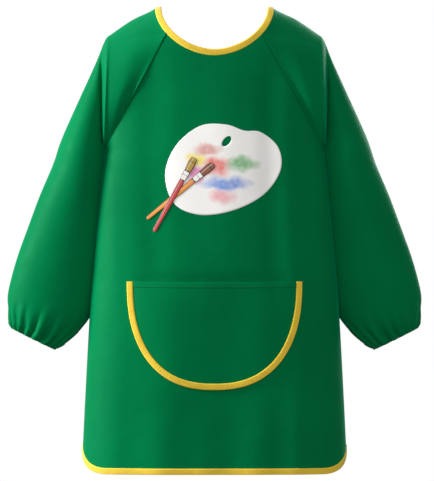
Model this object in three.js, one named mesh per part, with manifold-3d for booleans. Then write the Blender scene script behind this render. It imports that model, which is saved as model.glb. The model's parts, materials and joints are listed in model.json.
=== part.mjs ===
// A child's long-sleeved painting smock, open down the back, in millimetres.
// +X is the wearer's left, -Y is the front and +Z is up.
// The origin lies midway between the tops of the shoulders.
import * as THREE from "three";
import { mergeVertices } from "three/addons/utils/BufferGeometryUtils.js";
import Module from "manifold-3d";

// ---- driving dimensions ----
const smockLength = 617; // shoulder top to the lowest point of the hem
const chestHalfWidth = 146; // side of the body at and above the underarm
const hemHalfWidth = 175; // side of the body near the hem
const chestDepth = 64; // front of the body to the side seam, at chest level
const flare = 0.02; // how much deeper the front and back get per millimetre going down
const underarmDrop = 190; // shoulder top to the underarm
const sideSquareness = 2.6; // exponent of the body's rounded cross-section
const clothWall = 2; // thickness of a cloth wall
const seamGap = 0.7; // gap left between pieces that are sewn together
const panelNeckGap = 1.7; // the same where the front panel meets the curved neck binding
const capNeckGap = 2; // the same where the shoulder slopes away under the neck binding
const layerGap = 0.4; // gap left between pieces that lie on each other

const neckHalfWidth = 78; // neckline at the shoulder tops
const neckDrop = 64; // shoulder top to the lowest point of the neckline
const neckSquareness = 1.85;
const bindingWidth = 9; // folded tape round the neck, hem and pocket
const shoulderRound = 60; // height over which the front curves over the shoulder
const backRound = 35; // the same at the back
const raglanTopDrop = 35; // shoulder top to where each raglan seam meets the neckline

const hemRise = 30; // how far the hem rises at the side seams
const hemCorner = 50; // degrees round the body where that rise starts

const openingHalfGap = 4; // each back edge to the middle of the back
const foldHemX = 120; // where each back flap's fold line meets the hem
const foldGap = 1; // clearance along the fold line

const shoulderInset = 3; // outer end of the shoulder line to the side of the body
const shoulderPointDrop = 40;
const armholeHalfDepth = 50;
const pivotInset = 4; // shoulder joint to the side of the body
const armCutClearance = 3; // armhole to the cylinder that the sleeve turns on
const armCutGap = 0.95; // clearance between the sleeve and its cap
const armCutOuter = -42.4; // degrees, direction of the sleeve's outer edge from the shoulder joint
const armCutHalfDepth = 46;
const sideClearance = 2; // inner edge of the sleeve to the side of the body
const sleeveDrop = 261; // underarm to the lowest point of the cuff
const sleeveSpread = 127; // side of the body to the widest point of the sleeve

const cuffWall = 1.4;
const cuffBand = 13; // width of the elastic casing
const elasticWidth = 8;
const elasticThickness = 1.2;

const pocketHalfWidth = 116;
const pocketTopDrop = 363;
const pocketDepth = 143;
const pocketSquareness = 2.4;
const pocketStand = 7.5; // room inside the pocket

const printThickness = 0.6;
const tapeThickness = 1.6; // hook and loop tape
const tapeHalfWidth = 12;
const tapeHalfHeight = 20;
const tapeEdgeInset = 6; // tape to the back opening's edge
const neckTapeDrop = 100;
const waistTapeDrop = 300;

// ---- small helpers ----
const rad = THREE.MathUtils.degToRad;
const lerp = THREE.MathUtils.lerp;
const armholeMiddle = (shoulderPointDrop + underarmDrop) / 2;
const pivot = new THREE.Vector3(chestHalfWidth - pivotInset, 0, -armholeMiddle); // left shoulder joint
const armCutRadius = armholeMiddle - shoulderPointDrop + armCutClearance;
const armCutInner = -THREE.MathUtils.radToDeg(Math.acos((pivotInset + sideClearance) / armCutRadius));
const wasm = await Module();
wasm.setup();

function signedPower(value, power) {
  return Math.sign(value) * Math.pow(Math.abs(value), power);
}

function quarterRound(share) {
  const rest = 1 - Math.min(Math.max(share, 0), 1);
  return Math.sqrt(1 - rest * rest);
}

// Where each raglan seam meets the lower edge of the neck binding.
const raglanTopX =
  neckHalfWidth * Math.pow(1 - Math.pow(raglanTopDrop / neckDrop, neckSquareness), 1 / neckSquareness);

// ---- the body's surface ----
function bodyHalfWidth(z) {
  const share = Math.max(0, -z - underarmDrop) / (smockLength - hemRise - underarmDrop);
  return lerp(chestHalfWidth, hemHalfWidth, Math.pow(Math.min(share, 1), 0.85));
}

function frontDepth(z) {
  return (chestDepth - flare * z) * quarterRound(-z / shoulderRound);
}

function backDepth(z) {
  return (chestDepth - 6 - flare * z) * quarterRound(-z / backRound);
}

function foldX(z) {
  return lerp(raglanTopX, foldHemX, (-z - raglanTopDrop) / (smockLength - raglanTopDrop));
}

// A point on the front, at an angle round the body from the middle of the front to a side seam.
function frontPoint(degrees, z) {
  const power = 2 / sideSquareness;
  const x = bodyHalfWidth(z) * signedPower(Math.sin(rad(degrees)), power);
  const y = -frontDepth(z) * signedPower(Math.cos(rad(degrees)), power);
  return new THREE.Vector3(x, y, z);
}

// A point on the left of the back: 0 is the side seam, 1 the fold line and 2 the middle of the back.
function backPoint(round, z) {
  const fold = foldX(z);
  if (round > 1) return new THREE.Vector3(fold * (2 - round), backDepth(z), z);
  const power = 2 / sideSquareness;
  const turn = (round * Math.PI) / 2;
  const x = fold + (bodyHalfWidth(z) - fold) * signedPower(Math.cos(turn), power);
  return new THREE.Vector3(x, backDepth(z) * signedPower(Math.sin(turn), power), z);
}

// The angle round the front that has this x.
function angleOfX(x, z) {
  const share = Math.min(Math.abs(x) / bodyHalfWidth(z), 1);
  return Math.sign(x) * THREE.MathUtils.radToDeg(Math.asin(Math.pow(share, sideSquareness / 2)));
}

// The share of the way round the back's side, 0 to 1, that has this x.
function roundOfX(x, z) {
  const share = Math.min(Math.max((x - foldX(z)) / (bodyHalfWidth(z) - foldX(z)), 0), 1);
  return (Math.acos(Math.pow(share, sideSquareness / 2)) * 2) / Math.PI;
}

function hemZ(degrees) {
  const share = Math.min(Math.max((Math.abs(degrees) - hemCorner) / (90 - hemCorner), 0), 1);
  return -smockLength + hemRise * share * share;
}

// Lower edge of the neck binding at this x.
function necklineZ(x) {
  const share = Math.min(Math.abs(x) / neckHalfWidth, 1);
  const rest = 1 - Math.pow(share, neckSquareness);
  return -neckDrop * Math.pow(rest, 1 / neckSquareness);
}

// Raglan seam: straight in the front view from the neckline to the underarm.
function raglanZ(x) {
  const share = (Math.abs(x) - raglanTopX) / (chestHalfWidth - raglanTopX);
  return -lerp(raglanTopDrop, underarmDrop, share);
}

// ---- solids from surfaces ----
function outwardNormal(surface, core, u, v, ring) {
  const step = 1e-3;
  const wrap = (value) => (ring ? value : Math.min(Math.max(value, 0), 1));
  const clamp = (value) => Math.min(Math.max(value, 0), 1);
  const alongU = surface(wrap(u + step), v).sub(surface(wrap(u - step), v));
  const alongV = surface(u, clamp(v + step)).sub(surface(u, clamp(v - step)));
  const normal = alongU.cross(alongV).normalize();
  const away = surface(u, v).sub(core(u, v));
  return normal.dot(away) < 0 ? normal.negate() : normal;
}

function geometryOf(points, faces) {
  let volume = 0;
  for (let i = 0; i < faces.length; i += 3) {
    const [a, b, c] = [points[faces[i]], points[faces[i + 1]], points[faces[i + 2]]];
    volume += a.dot(b.clone().cross(c));
  }
  if (volume < 0) faces.reverse();
  const geometry = new THREE.BufferGeometry();
  geometry.setAttribute("position", new THREE.Float32BufferAttribute(points.flatMap((p) => p.toArray()), 3));
  geometry.setIndex(faces);
  geometry.computeVertexNormals();
  return geometry;
}

// A wall between two depths under a surface. A ring closes on itself along u.
function wall(surface, core, uSteps, vSteps, outer, inner, ring = false) {
  const columns = ring ? uSteps : uSteps + 1;
  const rows = vSteps + 1;
  const points = [];
  for (const depth of [outer, inner]) {
    for (let i = 0; i < columns; i++) {
      for (let j = 0; j < rows; j++) {
        const u = i / uSteps;
        const v = j / vSteps;
        const normal = outwardNormal(surface, core, u, v, ring);
        points.push(surface(u, v).addScaledVector(normal, -depth));
      }
    }
  }
  const at = (side, i, j) => side * columns * rows + (i % columns) * rows + j;
  const faces = [];
  const quad = (a, b, c, d) => faces.push(a, b, c, a, c, d);
  for (let i = 0; i < uSteps; i++) {
    for (let j = 0; j < vSteps; j++) {
      quad(at(0, i, j), at(0, i + 1, j), at(0, i + 1, j + 1), at(0, i, j + 1));
      quad(at(1, i, j), at(1, i, j + 1), at(1, i + 1, j + 1), at(1, i + 1, j));
    }
    quad(at(0, i, 0), at(1, i, 0), at(1, i + 1, 0), at(0, i + 1, 0));
    quad(at(0, i, vSteps), at(0, i + 1, vSteps), at(1, i + 1, vSteps), at(1, i, vSteps));
  }
  for (let j = 0; j < vSteps && !ring; j++) {
    quad(at(0, 0, j), at(0, 0, j + 1), at(1, 0, j + 1), at(1, 0, j));
    quad(at(0, uSteps, j), at(1, uSteps, j), at(1, uSteps, j + 1), at(0, uSteps, j + 1));
  }
  return geometryOf(points, faces);
}

function mirrored(geometry) {
  const copy = geometry.clone();
  const position = copy.getAttribute("position");
  for (let i = 0; i < position.count; i++) position.setX(i, -position.getX(i));
  copy.setIndex(Array.from(copy.index.array).reverse());
  copy.computeVertexNormals();
  return copy;
}

function solidOf(geometry) {
  const bare = geometry.clone();
  bare.deleteAttribute("normal");
  bare.deleteAttribute("uv");
  const merged = mergeVertices(bare, 1e-4);
  const vertProperties = new Float32Array(merged.getAttribute("position").array);
  const triVerts = new Uint32Array(merged.index.array);
  return new wasm.Manifold(new wasm.Mesh({ numProp: 3, vertProperties, triVerts }));
}

function geometryFrom(solid) {
  const mesh = solid.getMesh();
  const geometry = new THREE.BufferGeometry();
  geometry.setAttribute("position", new THREE.BufferAttribute(mesh.vertProperties, 3));
  geometry.setIndex(new THREE.BufferAttribute(mesh.triVerts, 1));
  geometry.computeVertexNormals();
  return geometry;
}

// ---- body pieces ----
const bodyCore = (surface) => (u, v) => new THREE.Vector3(0, 0, surface(u, v).z - 5);

function bodyWall(surface, uSteps, vSteps, outer = 0, inner = clothWall) {
  return wall(surface, bodyCore(surface), uSteps, vSteps, outer, inner);
}

function frontTop(degrees) {
  const x = chestHalfWidth * Math.pow(Math.abs(Math.sin(rad(degrees))), 2 / sideSquareness);
  const seam = x > raglanTopX ? raglanZ(x) - seamGap * 1.9 : 0;
  return Math.min(necklineZ(x) - panelNeckGap, seam);
}

function frontPanel() {
  const sideAngle = 89.9;
  const surface = (u, v) => {
    const degrees = lerp(-sideAngle, sideAngle, u);
    const low = hemZ(degrees) + bindingWidth + seamGap;
    return frontPoint(degrees, lerp(low, frontTop(degrees), v));
  };
  return bodyWall(surface, 30, 7);
}

function backHemZ(round) {
  return hemZ(90 - 90 * Math.min(round, 1));
}

// Where the left back panel's raglan seam lies, from the underarm at 0 to the fold line at 1.
function backSeam(share) {
  const x = lerp(chestHalfWidth, raglanTopX, share);
  const z = raglanZ(x);
  return { round: roundOfX(x, z), z };
}

// The left back panel from the side seam to the fold line.
function backSide() {
  const surface = (u, v) => {
    const { round, z } = backSeam(u);
    const low = backHemZ(round) + bindingWidth + seamGap;
    const point = backPoint(Math.max(round, 0.0012), lerp(low, z - seamGap * 1.9, v));
    point.x += (u * foldGap) / 2;
    return point;
  };
  return bodyWall(surface, 10, 7);
}

// The flat part of the back between a fold line and the opening, from one height to another.
function flapWall(lowOf, highOf, uSteps, vSteps) {
  const surface = (u, v) => {
    const guess = lerp(raglanTopX, openingHalfGap, u);
    const high = highOf(guess);
    const z = lerp(lowOf(), high, v);
    const x = lerp(foldX(z) - foldGap / 2, openingHalfGap, u);
    return new THREE.Vector3(x, backDepth(z), z);
  };
  return bodyWall(surface, uSteps, vSteps);
}

function backFlap() {
  const low = () => -smockLength + bindingWidth + seamGap;
  const high = (x) => Math.min(necklineZ(x) - seamGap, -raglanTopDrop - seamGap);
  return flapWall(low, high, 8, 5);
}

// ---- edge bindings ----
function hemBinding() {
  const surface = (u, v) => {
    const degrees = lerp(-90, 90, u);
    const low = hemZ(degrees);
    return frontPoint(degrees, low + v * bindingWidth);
  };
  const front = solidOf(bodyWall(surface, 30, 1));
  const side = (u, v) => {
    const round = lerp(-0.004, 1, u);
    const low = backHemZ(Math.max(round, 0));
    const point = backPoint(Math.max(round, 0), low + v * bindingWidth);
    point.y += Math.min(round, 0) * 50;
    point.x += (Math.max(u, 0) * foldGap) / 2;
    return point;
  };
  const left = bodyWall(side, 10, 1);
  return geometryFrom(front.add(solidOf(left)).add(solidOf(mirrored(left))));
}

function flapHemBinding() {
  return flapWall(() => -smockLength, () => -smockLength + bindingWidth, 1, 1);
}

// The neck edge as a loop, in degrees from the middle of the front:
// 90 is the left shoulder top and 180 the middle of the back.
function neckPoint(degrees, narrow) {
  const power = 2 / neckSquareness;
  const x = (neckHalfWidth - narrow) * signedPower(Math.sin(rad(degrees)), power);
  const z = -(neckDrop - narrow) * Math.pow(Math.abs(Math.cos(rad(degrees))), power);
  const front = Math.cos(rad(degrees)) > 0;
  const round = Math.pow(1 - Math.pow(Math.abs(x) / chestHalfWidth, sideSquareness), 1 / sideSquareness);
  return new THREE.Vector3(x, front ? -frontDepth(z) * round : backDepth(z), z);
}

// The angle round the neck edge where its lower edge reaches the raglan seams.
const neckSeamAngle = THREE.MathUtils.radToDeg(
  Math.asin(Math.pow(raglanTopX / neckHalfWidth, neckSquareness / 2)),
);

function neckStrip(from, to, steps) {
  const surface = (u, v) => neckPoint(lerp(from, to, u), v * bindingWidth);
  const core = (u, v) => surface(u, v).setY(0).setZ(-shoulderRound);
  return wall(surface, core, steps, 1, 0, clothWall);
}

const backSeamAngle = 180 - neckSeamAngle;

function neckBindingFront() {
  return neckStrip(-backSeamAngle, backSeamAngle, 36);
}

function neckBindingBack() {
  return neckStrip(backSeamAngle + 1.2, 177, 8);
}

// ---- sleeves, drawn for the left ----
// Loops run from the underarm at 0, up the front to the top at 0.5, and down the back.
function seamLoop(turn) {
  const side = turn < 0.5 ? turn : 1 - turn;
  const neckShare = 0.4;
  const front = turn < 0.5;
  if (side < neckShare) {
    const share = side / neckShare;
    const x = lerp(chestHalfWidth, raglanTopX + 1, share);
    const z = raglanZ(x) + 2 * seamGap;
    return front ? frontPoint(angleOfX(x, z), z) : backPoint(roundOfX(x, z), z);
  }
  const share = (side - neckShare) / (0.5 - neckShare);
  const angle = lerp(neckSeamAngle + 2, 90, share);
  return neckPoint(front ? angle : 180 - angle, -capNeckGap);
}

function armholeLoop(turn) {
  const angle = turn * 2 * Math.PI;
  const height = (underarmDrop - shoulderPointDrop) / 2;
  const lean = (1 - Math.cos(angle)) / 2;
  const x = lerp(chestHalfWidth + seamGap, chestHalfWidth - shoulderInset, lean);
  const z = -armholeMiddle - seamGap - height * Math.cos(angle);
  return new THREE.Vector3(x, -armholeHalfDepth * Math.sin(angle), z);
}

// The sleeve's end at the shoulder joint lies on a cylinder about the joint's axis.
function armCutLoop(turn, radius) {
  const angle = turn * 2 * Math.PI;
  const middle = (armCutInner + armCutOuter) / 2;
  const half = (armCutOuter - armCutInner) / 2;
  const direction = rad(middle - half * Math.cos(angle));
  const x = pivot.x + radius * Math.cos(direction);
  const z = pivot.z + radius * Math.sin(direction);
  return new THREE.Vector3(x, -armCutHalfDepth * Math.sin(angle), z);
}

function sleeveCap() {
  const surface = (u, v) => {
    const turn = u - Math.floor(u);
    const start = seamLoop(turn);
    const middle = armholeLoop(turn);
    const end = armCutLoop(turn, armCutRadius);
    if (v < 0.5) return start.lerp(middle, v * 2);
    return middle.lerp(end, v * 2 - 1);
  };
  return wall(surface, () => pivot, 24, 4, 0, clothWall, true);
}

// Cross-sections down the sleeve. Each edge is [share of the spread, share of the drop], seen from the front.
const sleeveSections = [
  { outer: [0.535, 0.07], inner: [0.04, 0.153], half: 46 },
  { outer: [0.71, 0.284], inner: [0.08, 0.39], half: 43 },
  { outer: [0.882, 0.517], inner: [0.126, 0.64], half: 39 },
  { outer: [0.992, 0.705], inner: [0.181, 0.82], half: 35 },
  { outer: [1, 0.797], inner: [0.276, 0.912], half: 31 },
  { outer: [0.976, 0.862], inner: [0.425, 0.965], half: 25 },
  { outer: [0.945, 0.908], inner: [0.567, 1], half: 17 },
];
const cuffLength = 112; // length of the sleeve's last section along its outer edge, for placing the cuff

function sectionLoop(section, turn) {
  const angle = turn * 2 * Math.PI;
  const share = (1 - Math.cos(angle)) / 2;
  const x = chestHalfWidth + sleeveSpread * lerp(section.inner[0], section.outer[0], share);
  const z = -underarmDrop - sleeveDrop * lerp(section.inner[1], section.outer[1], share);
  return new THREE.Vector3(x, -section.half * Math.sin(angle), z);
}

const sleeveSides = 20;

function sleevePoint(u, v) {
  const turn = u - Math.floor(u);
  const loops = [armCutLoop(turn, armCutRadius + armCutGap)];
  for (const section of sleeveSections) loops.push(sectionLoop(section, turn));
  const curve = new THREE.CatmullRomCurve3(loops);
  return curve.getPoint(v);
}

function sleeveCore(u, v) {
  return sleevePoint(0, v).add(sleevePoint(0.5, v)).multiplyScalar(0.5);
}

function sleeveBand(from, to, steps, outer, inner) {
  const place = (v) => lerp(from, to, v);
  const surface = (u, v) => sleevePoint(u, place(v));
  return wall(surface, (u, v) => sleeveCore(u, place(v)), sleeveSides, steps, outer, inner, true);
}

const cuffStart = 1 - cuffBand / cuffLength;

function sleeve() {
  return sleeveBand(0, cuffStart - 0.006, 8, 0, clothWall);
}

// The cuff is a folded casing: outer wall, turned edge and inner wall.
// It is open at the top, where the elastic goes in.
const casingDepth = 2 * cuffWall + elasticThickness + 2 * layerGap;

function cuffCasing() {
  const foldShare = 0.985;
  const section = [
    [cuffStart, 0],
    [1, 0],
    [1, casingDepth],
    [cuffStart, casingDepth],
    [cuffStart, casingDepth - cuffWall],
    [foldShare, casingDepth - cuffWall],
    [foldShare, cuffWall],
    [cuffStart, cuffWall],
  ];
  const points = [];
  for (let i = 0; i < sleeveSides; i++) {
    const u = i / sleeveSides;
    for (const [v, depth] of section) {
      const normal = outwardNormal(sleevePoint, sleeveCore, u, v, true);
      points.push(sleevePoint(u, v).addScaledVector(normal, -depth));
    }
  }
  const count = section.length;
  const at = (i, j) => (i % sleeveSides) * count + (j % count);
  const faces = [];
  for (let i = 0; i < sleeveSides; i++) {
    for (let j = 0; j < count; j++) {
      faces.push(at(i, j), at(i + 1, j), at(i + 1, j + 1));
      faces.push(at(i, j), at(i + 1, j + 1), at(i, j + 1));
    }
  }
  return geometryOf(points, faces);
}

function cuffElastic() {
  const top = 0.982;
  const depth = cuffWall + layerGap;
  return sleeveBand(top - elasticWidth / cuffLength, top, 1, depth, depth + elasticThickness);
}

// ---- pocket ----
function pocketEdge(x, narrow) {
  const share = Math.min(Math.abs(x) / (pocketHalfWidth - narrow), 1);
  const rest = Math.pow(1 - Math.pow(share, pocketSquareness), 1 / pocketSquareness);
  return -pocketTopDrop - (pocketDepth - narrow) * rest;
}

function frontAtX(x, z) {
  return frontPoint(angleOfX(x, z), z);
}

const pocketFrontDepth = pocketStand + clothWall;

function pocketPanel() {
  const narrow = bindingWidth + seamGap;
  const surface = (u, v) => {
    const turn = lerp(-90, 90, u);
    const x = (pocketHalfWidth - narrow) * signedPower(Math.sin(rad(turn)), 2 / pocketSquareness);
    const low = Math.min(pocketEdge(x, narrow), -pocketTopDrop - 0.5 * narrow);
    return frontAtX(x, lerp(low, -pocketTopDrop, v));
  };
  return bodyWall(surface, 18, 4, -pocketFrontDepth, -pocketStand);
}

function pocketBinding() {
  const surface = (u, v) => {
    const turn = lerp(-90, 90, u);
    const narrow = v * bindingWidth;
    const power = 2 / pocketSquareness;
    const x = (pocketHalfWidth - narrow) * signedPower(Math.sin(rad(turn)), power);
    const z = -pocketTopDrop - (pocketDepth - narrow) * signedPower(Math.cos(rad(turn)), power);
    return frontAtX(x, z);
  };
  return bodyWall(surface, 28, 1, -pocketFrontDepth, -layerGap);
}

// ---- chest print: a palette with a thumb hole and two crossed brushes, one thin film ----
const palette = { x: 11, z: -214 };
const paletteOutline = [
  [-76, -8], [-62, 30], [-30, 56], [4, 58], [28, 50], [50, 48],
  [73, 28], [76, -2], [54, -34], [14, -55], [-30, -61], [-64, -46],
];
const thumbHole = { x: 5, z: 36, long: 8, short: 4.5, turn: 50 };
const brushes = [
  { from: [-89, -82], to: [-37, 14] },
  { from: [-100, -66], to: [-11, 6] },
];
const brushTail = 4;
const brushHead = 9;

function prism(shape) {
  const geometry = new THREE.ExtrudeGeometry(shape, { depth: 200, bevelEnabled: false, curveSegments: 10 });
  geometry.rotateX(Math.PI / 2);
  geometry.translate(palette.x, 0, palette.z);
  return solidOf(geometry);
}

function brushShape({ from, to }) {
  const start = new THREE.Vector2(...from);
  const end = new THREE.Vector2(...to);
  const along = end.clone().sub(start).normalize();
  const across = new THREE.Vector2(-along.y, along.x);
  const corner = (point, offset) => point.clone().addScaledVector(across, offset);
  return new THREE.Shape([
    corner(start, -brushTail / 2),
    corner(end, -brushHead / 2),
    corner(end, brushHead / 2),
    corner(start, brushTail / 2),
  ]);
}

function chestPrint() {
  const outline = new THREE.Shape();
  const points = paletteOutline.map(([x, z]) => new THREE.Vector3(x, z, 0));
  const curve = new THREE.CatmullRomCurve3(points, true);
  outline.setFromPoints(curve.getPoints(36).slice(0, -1).map((p) => new THREE.Vector2(p.x, p.y)));
  const hole = new THREE.Shape();
  const { x, z, long, short, turn } = thumbHole;
  hole.absellipse(x, z, long, short, 0, 2 * Math.PI, true, rad(turn));
  let solid = prism(outline).subtract(prism(hole));
  for (const brush of brushes) solid = solid.add(prism(brushShape(brush)));
  const surface = (u, v) => frontAtX(palette.x + lerp(-108, 85, u), palette.z + lerp(-90, 65, v));
  const film = solidOf(bodyWall(surface, 16, 4, -layerGap - printThickness, -layerGap));
  return geometryFrom(film.intersect(solid));
}

// ---- hook and loop tapes on the flat back flaps ----
function tape(drop, outside) {
  const low = -drop - tapeHalfHeight;
  const inner = openingHalfGap + tapeEdgeInset;
  const surface = (u, v) => {
    const z = lerp(low, low + 2 * tapeHalfHeight, v);
    return new THREE.Vector3(lerp(inner, inner + 2 * tapeHalfWidth, u), backDepth(z), z);
  };
  const depth = outside ? -layerGap - tapeThickness : clothWall + layerGap;
  return bodyWall(surface, 1, 1, depth, depth + tapeThickness);
}

// ---- colours ----
const green = new THREE.MeshStandardMaterial({ color: 0x007a42, roughness: 0.72, metalness: 0 });
const yellow = new THREE.MeshStandardMaterial({ color: 0xe0b62f, roughness: 0.7, metalness: 0 });
const whiteFilm = new THREE.MeshStandardMaterial({ color: 0xf7f3ea, roughness: 0.5, metalness: 0 });
const elasticWhite = new THREE.MeshStandardMaterial({ color: 0xe8e6e0, roughness: 0.85, metalness: 0 });
const tapeGreen = new THREE.MeshStandardMaterial({ color: 0x0a6a3c, roughness: 0.9, metalness: 0 });

// ---- assembly ----
const smock = new THREE.Group();

function add(name, geometry, material) {
  const mesh = new THREE.Mesh(geometry, material);
  mesh.name = name;
  smock.add(mesh);
}

function addPair(name, geometry, material) {
  add("left_" + name, geometry, material);
  add("right_" + name, mirrored(geometry), material);
}

add("front_panel", frontPanel(), green);
addPair("back_panel", backSide(), green);
addPair("back_flap", backFlap(), green);
addPair("sleeve_cap", sleeveCap(), green);
addPair("sleeve", sleeve(), green);
addPair("cuff_casing", cuffCasing(), green);
addPair("cuff_elastic", cuffElastic(), elasticWhite);
add("neck_binding", neckBindingFront(), yellow);
addPair("neck_binding_back", neckBindingBack(), yellow);
add("hem_binding", hemBinding(), yellow);
addPair("hem_binding_back", flapHemBinding(), yellow);
add("pocket_panel", pocketPanel(), green);
add("pocket_binding", pocketBinding(), yellow);
add("chest_print", chestPrint(), whiteFilm);
for (const [place, drop] of [["neck", neckTapeDrop], ["waist", waistTapeDrop]]) {
  add("left_" + place + "_hook_tape", tape(drop, false), tapeGreen);
  add("right_" + place + "_loop_tape", mirrored(tape(drop, true)), tapeGreen);
}

export default smock;
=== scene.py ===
"""Looks of a child's painting smock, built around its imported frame. All lengths are in metres."""

import json
import math
import random

import bpy
import numpy as np
from mathutils import Matrix, Vector

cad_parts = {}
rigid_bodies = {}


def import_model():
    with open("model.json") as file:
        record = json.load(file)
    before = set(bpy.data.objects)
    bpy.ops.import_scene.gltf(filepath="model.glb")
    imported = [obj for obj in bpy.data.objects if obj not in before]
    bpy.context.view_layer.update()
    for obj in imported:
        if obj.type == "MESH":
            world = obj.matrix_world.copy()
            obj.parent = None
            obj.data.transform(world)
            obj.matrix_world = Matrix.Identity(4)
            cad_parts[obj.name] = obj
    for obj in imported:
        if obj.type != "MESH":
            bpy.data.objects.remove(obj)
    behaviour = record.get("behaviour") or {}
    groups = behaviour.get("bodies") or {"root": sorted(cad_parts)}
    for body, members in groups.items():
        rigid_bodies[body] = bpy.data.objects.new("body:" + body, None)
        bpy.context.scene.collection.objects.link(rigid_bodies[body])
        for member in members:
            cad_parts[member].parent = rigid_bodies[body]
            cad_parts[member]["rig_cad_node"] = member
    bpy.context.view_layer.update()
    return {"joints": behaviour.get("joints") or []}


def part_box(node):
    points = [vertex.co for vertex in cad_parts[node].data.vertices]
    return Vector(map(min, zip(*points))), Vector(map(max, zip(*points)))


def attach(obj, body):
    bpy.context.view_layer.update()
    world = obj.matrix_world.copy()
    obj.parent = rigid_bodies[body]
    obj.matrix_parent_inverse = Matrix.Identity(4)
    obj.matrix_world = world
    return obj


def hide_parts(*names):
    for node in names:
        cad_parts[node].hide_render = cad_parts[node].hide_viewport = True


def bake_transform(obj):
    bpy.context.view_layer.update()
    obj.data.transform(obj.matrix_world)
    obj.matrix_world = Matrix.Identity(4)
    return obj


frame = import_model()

bl_info = {
    "name": "Painting smock",
    "version": (1, 0, 0),
    "blender": (4, 5, 0),
    "location": "View3D > Sidebar > Smock",
    "description": "Builds a child's long-sleeved painting smock piece by piece",
    "category": "Object",
}

MM = 0.001

# ---- the garment's shape, the same as its frame's ----
HEM_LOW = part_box("hem_binding")[0].z
CHEST_HALF_WIDTH = 146 * MM
HEM_HALF_WIDTH = 175 * MM
CHEST_DEPTH = 64 * MM
BACK_DEPTH = 58 * MM
FLARE = 0.02
UNDERARM = -190 * MM
SIDE_SQUARENESS = 2.6
NECK_HALF_WIDTH = 78 * MM
NECK_DROP = 64 * MM
NECK_SQUARENESS = 1.85
SHOULDER_ROUND = 60 * MM
BACK_ROUND = 35 * MM
SEAM_TOP = -35 * MM
SEAM_TOP_X = NECK_HALF_WIDTH * (1 - (-SEAM_TOP / NECK_DROP) ** NECK_SQUARENESS) ** (1 / NECK_SQUARENESS)
HEM_RISE = 30 * MM
HEM_CORNER = 50
FOLD_HEM_X = 120 * MM
OPENING_HALF_GAP = 4 * MM
SHOULDER_DROP = -40 * MM
POCKET_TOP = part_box("pocket_panel")[1].z
POCKET_HALF_WIDTH = 116 * MM
POCKET_DEPTH = 143 * MM
POCKET_SQUARENESS = 2.4
SLEEVE_BACK = 8 * MM

# How far past each fold line the back halves of the neck and hem tapes start.
FOLD_BLEND = 12 * MM

# Where the tapes and the stitches lie.
NECK_TAPE_INSET = 3.4 * MM
NECK_TAPE_END = 177.5
HEM_TAPE_LIFT = -0.35 * MM
POCKET_TAPE_INSET = 4.5 * MM
POCKET_TAPE_LIFT = 2.4 * MM
POCKET_TAPE = 3.4 * MM
POCKET_SAG = 1.2 * MM
STITCH_PITCH = 1.45
THREAD_SINK = 0.12 * MM
TAPE_PITCH = 0.4

JOINT = {joint["name"]: joint for joint in frame["joints"]}
SIDES = (("left", 1), ("right", -1))


# ---- sizes and colours that a maker would change ----
def length_property(name, description, default, low, high):
    return bpy.props.FloatProperty(
        name=name, description=description, default=default, min=low, max=high,
        subtype="DISTANCE", unit="LENGTH", precision=4)


def colour_property(name, description, default):
    return bpy.props.FloatVectorProperty(
        name=name, description=description, default=default, size=3, min=0, max=1, subtype="COLOR")


class SmockSizes(bpy.types.PropertyGroup):
    """Sizes that a maker would change."""

    cloth: length_property("Cloth thickness", "Thickness of the body and sleeve cloth", 0.0007, 0.0002, 0.002)
    binding: length_property("Binding width", "Finished width of the edge tape", 0.0084, 0.004, 0.02)
    tape: length_property("Binding thickness", "Thickness of the folded edge tape", 0.0024, 0.001, 0.004)
    drape: length_property("Drape", "Depth of the soft folds in the body", 0.0034, 0.0, 0.006)
    gather: length_property("Gather depth", "Depth of the gathers at the cuffs", 0.0044, 0.0, 0.006)
    stitch: length_property("Stitch", "Length of one stitch", 0.0026, 0.001, 0.006)
    thread: length_property("Thread", "Thickness of the sewing thread", 0.0005, 0.0002, 0.001)
    gathers: bpy.props.IntProperty(
        name="Gathers", description="Number of gathers round each cuff", default=17, min=8, max=30)


class SmockColours(bpy.types.PropertyGroup):
    """Colours that a maker would change."""

    cloth: colour_property("Cloth", "Body, sleeves and pocket", (0.0, 0.165, 0.049))
    binding: colour_property("Binding", "Edge tape and its thread", (0.86, 0.57, 0.03))
    film: colour_property("Film", "Ground of the chest print", (0.97, 0.95, 0.92))


def sizes():
    return bpy.context.scene.smock_sizes


def colours():
    return bpy.context.scene.smock_colours


# ---- the garment's surface ----
def signed_power(value, power):
    return math.copysign(abs(value) ** power, value)


def mix(a, b, share):
    return a + (b - a) * share


def spread(start, end, steps):
    """Values from start to end, evenly apart."""
    return [mix(start, end, step / steps) for step in range(steps + 1)]


def clamp(share):
    return min(max(share, 0), 1)


def smooth(share):
    share = clamp(share)
    return share * share * (3 - 2 * share)


def quarter_round(share):
    rest = 1 - clamp(share)
    return math.sqrt(1 - rest * rest)


def half_width(z):
    share = max(0, UNDERARM - z) / (UNDERARM - HEM_LOW - HEM_RISE)
    return mix(CHEST_HALF_WIDTH, HEM_HALF_WIDTH, min(share, 1) ** 0.64)


def front_depth(z):
    return (CHEST_DEPTH - FLARE * z) * quarter_round(-z / SHOULDER_ROUND)


def back_depth(z):
    return (BACK_DEPTH - FLARE * z) * quarter_round(-z / BACK_ROUND)


def fold_x(z):
    return mix(SEAM_TOP_X, FOLD_HEM_X, (SEAM_TOP - z) / (SEAM_TOP - HEM_LOW))


# Soft folds that run down the front: middle and half width in millimetres, then their height as a
# share of the drape above the pocket and below it.
FRONT_FOLDS = (
    (-134, 12, 0.45, 0.1), (-78, 20, -0.8, 0.1), (-62, 32, 0.0, 0.8), (20, 34, 0.6, -0.5),
    (78, 13, -0.6, -0.2), (104, 12, 0.55, 0.5), (130, 12, -0.3, 0.0),
)


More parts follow.
